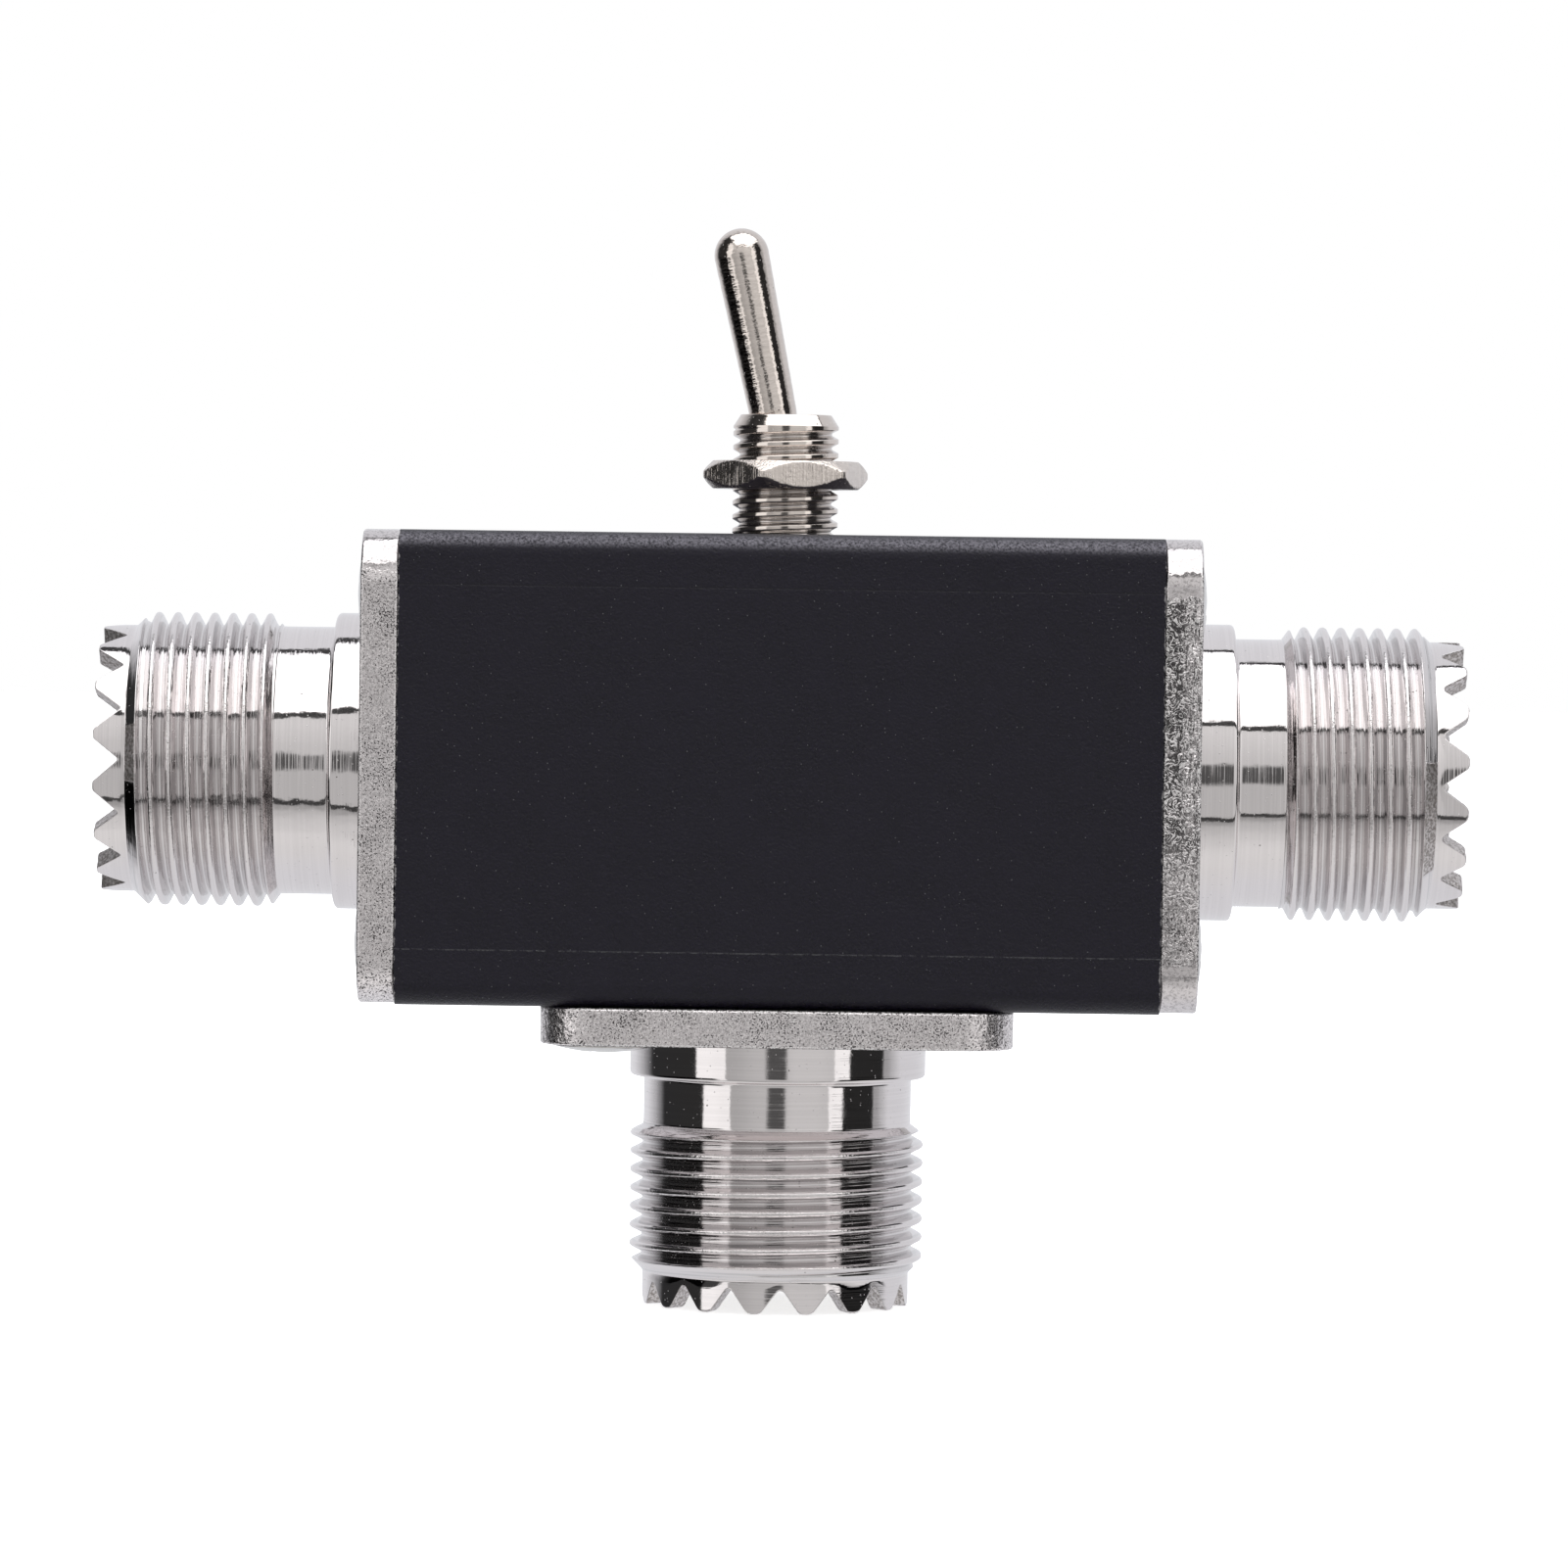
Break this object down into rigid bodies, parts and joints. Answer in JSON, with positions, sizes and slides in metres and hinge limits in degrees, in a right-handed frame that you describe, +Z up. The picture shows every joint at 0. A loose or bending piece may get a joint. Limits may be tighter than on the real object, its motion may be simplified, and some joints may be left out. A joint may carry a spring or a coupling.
{
  "type": "coaxial antenna switch",
  "caption": "Small square-tube coaxial switch: a lever toggle connects the common socket below to either side socket.",
  "frame": {"origin": "middle of the bottom socket's rim, the lowest point of the part", "axes": "+X from the left side socket to the right one, +Y from the front to the back, +Z up along the bottom socket's axis towards the lever"},
  "size_m": [0.0732, 0.025, 0.058],
  "materials": {
    "black_anodised": "blasted and black anodised, fine grain",
    "rough_nickel": "tumbled and nickel plated, speckled matte grey",
    "bright_nickel": "turned and nickel plated, bright",
    "screw_nickel": "nickel plated steel",
    "dark_nickel": "nickel plated, warm grey",
    "steel": "zinc plated steel",
    "ptfe": "white, waxy",
    "contact_brass": "turned, silver flashed inside",
    "nylon": "natural",
    "phenolic": "moulded, blue",
    "silver": "silver plated",
    "tinned_copper": "tinned",
    "red_insulation": "soft sleeving"
  },
  "bodies": {
    "body": {"barrel_bottom": "bright_nickel", "barrel_left": "bright_nickel", "barrel_right": "bright_nickel", "bushing": "dark_nickel", "contact_bottom": "contact_brass", "contact_left": "contact_brass", "contact_right": "contact_brass", "flange_bottom": "rough_nickel", "flange_left": "rough_nickel", "flange_right": "rough_nickel", "housing": "black_anodised", "insulator_bottom": "ptfe", "insulator_left": "ptfe", "insulator_right": "ptfe", "lever_pin": "steel", "lock_washer": "steel", "outer_nut": "dark_nickel", "rocker_pin": "steel", "screws_bottom": "screw_nickel", "screws_left": "screw_nickel", "screws_right": "screw_nickel", "sleeve_left": "red_insulation", "sleeve_right": "red_insulation", "switch_base": "phenolic", "switch_frame": "steel", "terminal_common": "silver", "terminal_left": "silver", "terminal_right": "silver", "wire_bottom": "tinned_copper", "wire_left": "tinned_copper", "wire_right": "tinned_copper"},
    "lever": {"lever": "dark_nickel"},
    "plunger": {"plunger": "nylon", "plunger_spring": "steel"},
    "rocker": {"rocker": "silver"}
  },
  "joints": [
    {"name": "lever_tilt", "type": "hinge", "parent": "body", "child": "lever", "pos_m": [0, 0, 0.0447], "axis": [0, 1, 0], "range_deg": [0, 24]},
    {"name": "plunger_slide", "type": "slide", "parent": "lever", "child": "plunger", "axis": [-0.2079, 0, 0.9781], "range_m": [0, 0.0005], "stiffness_N_per_m": 200, "springref_m": -0.001, "deforming": ["plunger_spring"]},
    {"name": "rocker_tilt", "type": "hinge", "parent": "body", "child": "rocker", "pos_m": [0, 0, 0.03307], "axis": [0, 1, 0], "range_deg": [-20, 0]}
  ],
  "couplings": [
    {"joint": "rocker_tilt", "follows": "lever_tilt", "ratio": -0.8333}
  ]
}
